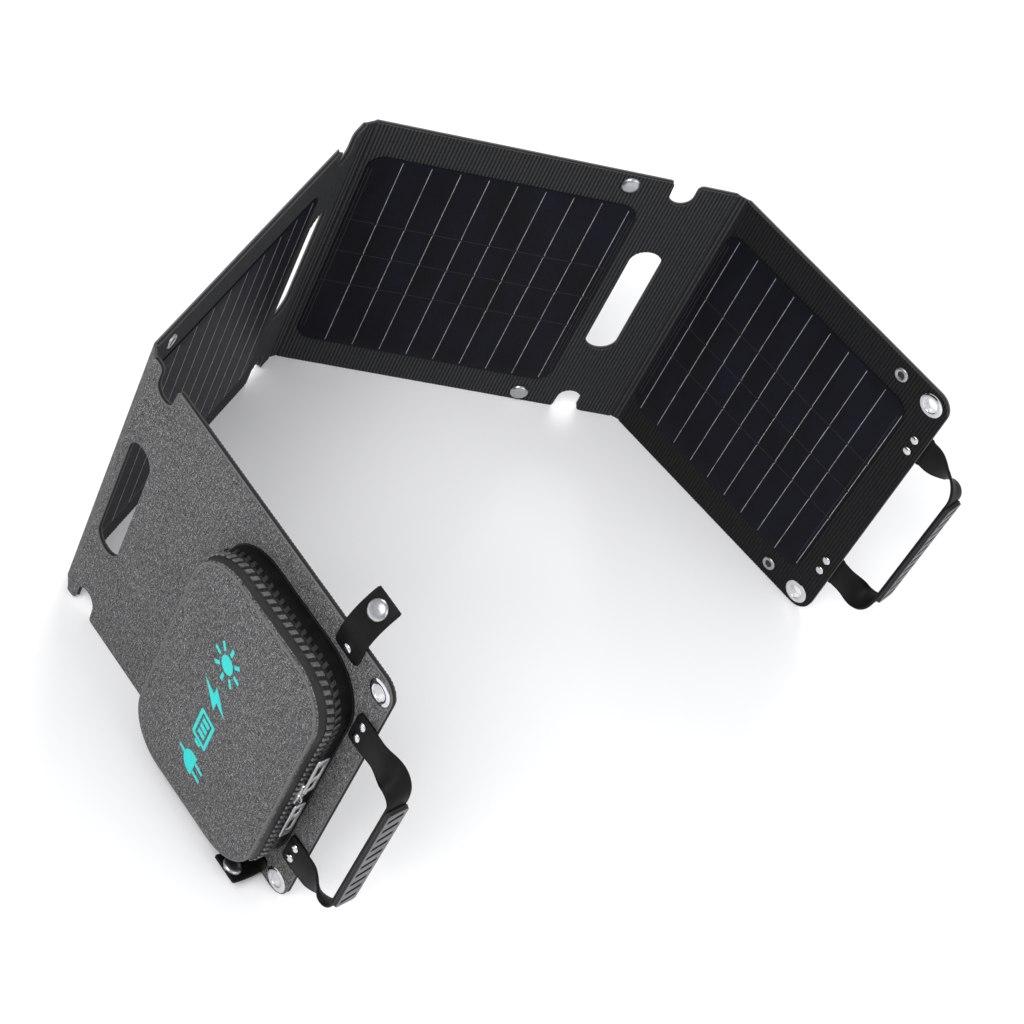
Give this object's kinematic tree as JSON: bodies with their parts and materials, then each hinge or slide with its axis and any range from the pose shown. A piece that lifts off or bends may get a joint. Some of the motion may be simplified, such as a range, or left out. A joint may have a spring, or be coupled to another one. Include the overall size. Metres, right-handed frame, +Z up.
{
  "type": "solar suitcase kit",
  "caption": "Fold-up solar panel suitcase: stiff fabric panels on double-crease hinges, strap handles, snap straps, and a zipped pouch with a charge regulator.",
  "frame": {"origin": "centre of the footprint, on the surface that the lower edges stand on", "axes": "+Z up along the fold lines; the cells of the third panel look towards -Y; +X runs along that panel towards the short fourth panel"},
  "size_m": [0.5916, 0.4984, 0.2924],
  "materials": {
    "grey_fabric": "matte heathered weave",
    "black_fabric": "satin fine ribs",
    "solar_cells": "glossy laminate over dark cells",
    "stiffener": "matte",
    "strap_leather": "satin coated strap",
    "grip_rubber": "matte moulded",
    "chrome": "bright plated",
    "zip_plastic": "satin moulded teeth",
    "case_plastic": "fine texture"
  },
  "bodies": {
    "panel_3": {"panel_3_back_cover": "grey_fabric", "panel_3_stiffener_board": "stiffener", "panel_3_front_cover": "black_fabric", "panel_3_cell_laminate": "solar_cells", "panel_3_snap_cap_top": "chrome", "panel_3_snap_cap_bottom": "chrome"},
    "fold_34": {"fold_strip_34": "black_fabric"},
    "panel_4": {"panel_4_back_cover": "grey_fabric", "panel_4_stiffener_board": "stiffener", "panel_4_front_cover": "black_fabric", "panel_4_cell_laminate": "solar_cells", "panel_4_grommet_top": "chrome", "panel_4_grommet_bottom": "chrome", "panel_4_snap_ring_top": "chrome", "panel_4_snap_ring_bottom": "chrome", "handle_4_tab_top": "strap_leather", "handle_4_rivets_top": "chrome", "handle_4_tab_bottom": "strap_leather", "handle_4_rivets_bottom": "chrome"},
    "handle_4": {"handle_4_loop": "strap_leather", "handle_4_grip": "grip_rubber"},
    "fold_23": {"fold_strip_23": "black_fabric"},
    "panel_2": {"panel_2_back_cover": "grey_fabric", "panel_2_stiffener_board": "stiffener", "panel_2_front_cover": "black_fabric", "panel_2_cell_laminate": "solar_cells", "panel_2_snap_ring_top": "chrome", "panel_2_snap_ring_bottom": "chrome"},
    "fold_12": {"fold_strip_12": "black_fabric"},
    "panel_1": {"panel_1_back_cover": "grey_fabric", "panel_1_stiffener_board": "stiffener", "panel_1_front_cover": "black_fabric", "panel_1_cell_laminate": "solar_cells", "panel_1_grommet_top": "chrome", "panel_1_grommet_bottom": "chrome", "handle_1_tab_top": "strap_leather", "handle_1_rivets_top": "chrome", "handle_1_tab_bottom": "strap_leather", "handle_1_rivets_bottom": "chrome", "strap_top_root": "strap_leather", "strap_top_rivet": "chrome", "strap_bottom_root": "strap_leather", "strap_bottom_rivet": "chrome", "pouch_base": "grey_fabric", "pouch_zip_lower": "zip_plastic", "regulator_case": "case_plastic", "regulator_cover": "case_plastic", "regulator_ports": "chrome"},
    "handle_1": {"handle_1_loop": "strap_leather", "handle_1_grip": "grip_rubber"},
    "strap_top": {"strap_top_flap": "strap_leather", "strap_top_snap_cap": "chrome"},
    "strap_bottom": {"strap_bottom_flap": "strap_leather", "strap_bottom_snap_cap": "chrome"},
    "pouch_lid": {"pouch_lid": "grey_fabric", "pouch_zip_upper": "zip_plastic"},
    "zip_slider_1": {"zip_slider_1": "chrome"},
    "zip_pull_1": {"zip_pull_1": "chrome"},
    "zip_slider_2": {"zip_slider_2": "chrome"},
    "zip_pull_2": {"zip_pull_2": "chrome"}
  },
  "joints": [
    {"name": "crease_34_a", "type": "hinge", "parent": "panel_3", "child": "fold_34", "pos_m": [0.11349, 0.24701, 0.13], "axis": [0, 0, -1], "range_deg": [-24.05, 65.95]},
    {"name": "crease_34_b", "type": "hinge", "parent": "fold_34", "child": "panel_4", "pos_m": [0.12079, 0.24375, 0.13], "axis": [0, 0, -1], "range_deg": [-24.05, 65.95]},
    {"name": "crease_23_a", "type": "hinge", "parent": "panel_3", "child": "fold_23", "pos_m": [-0.15085, 0.24701, 0.13], "axis": [0, 0, -1], "range_deg": [-10, 119.25]},
    {"name": "crease_23_b", "type": "hinge", "parent": "fold_23", "child": "panel_2", "pos_m": [-0.15783, 0.2431, 0.13], "axis": [0, 0, -1], "range_deg": [-10, 119.25]},
    {"name": "crease_12_a", "type": "hinge", "parent": "panel_2", "child": "fold_12", "pos_m": [-0.29464, 0.01985, 0.13], "axis": [0, 0, 1], "range_deg": [-33.15, 56.85]},
    {"name": "crease_12_b", "type": "hinge", "parent": "fold_12", "child": "panel_1", "pos_m": [-0.29441, 0.01185, 0.13], "axis": [0, 0, 1], "range_deg": [-33.15, 56.85]},
    {"name": "handle_4_swing", "type": "hinge", "parent": "panel_4", "child": "handle_4", "pos_m": [0.26319, 0.09029, 0.13], "axis": [0, 0, 1], "range_deg": [-75, 90]},
    {"name": "handle_1_swing", "type": "hinge", "parent": "panel_1", "child": "handle_1", "pos_m": [-0.14306, -0.21204, 0.13], "axis": [0, 0, -1], "range_deg": [-75, 90]},
    {"name": "strap_top_bend", "type": "hinge", "parent": "panel_1", "child": "strap_top", "pos_m": [-0.1696, -0.17385, 0.2618], "axis": [-0.5707, 0.8211, 0], "range_deg": [-60, 50]},
    {"name": "strap_bottom_bend", "type": "hinge", "parent": "panel_1", "child": "strap_bottom", "pos_m": [-0.16361, -0.18247, 0.007], "axis": [0.5707, -0.8211, 0], "range_deg": [-12, 8]},
    {"name": "pouch_lid_hinge", "type": "hinge", "parent": "panel_1", "child": "pouch_lid", "pos_m": [-0.24416, -0.09172, 0.13], "axis": [0, 0, -1], "range_deg": [0, 110]},
    {"name": "zip_slider_1_travel", "type": "slide", "parent": "panel_1", "child": "zip_slider_1", "axis": [0, 0, 1], "range_m": [0, 0.045]},
    {"name": "zip_slider_2_travel", "type": "slide", "parent": "panel_1", "child": "zip_slider_2", "axis": [0, 0, -1], "range_m": [0, 0.045]},
    {"name": "zip_pull_1_swing", "type": "hinge", "parent": "zip_slider_1", "child": "zip_pull_1", "pos_m": [-0.16369, -0.2075, 0.1356], "axis": [0.8211, 0.5707, 0], "range_deg": [0, 150]},
    {"name": "zip_pull_2_swing", "type": "hinge", "parent": "zip_slider_2", "child": "zip_pull_2", "pos_m": [-0.16369, -0.2075, 0.1244], "axis": [-0.8211, -0.5707, 0], "range_deg": [0, 150]}
  ]
}
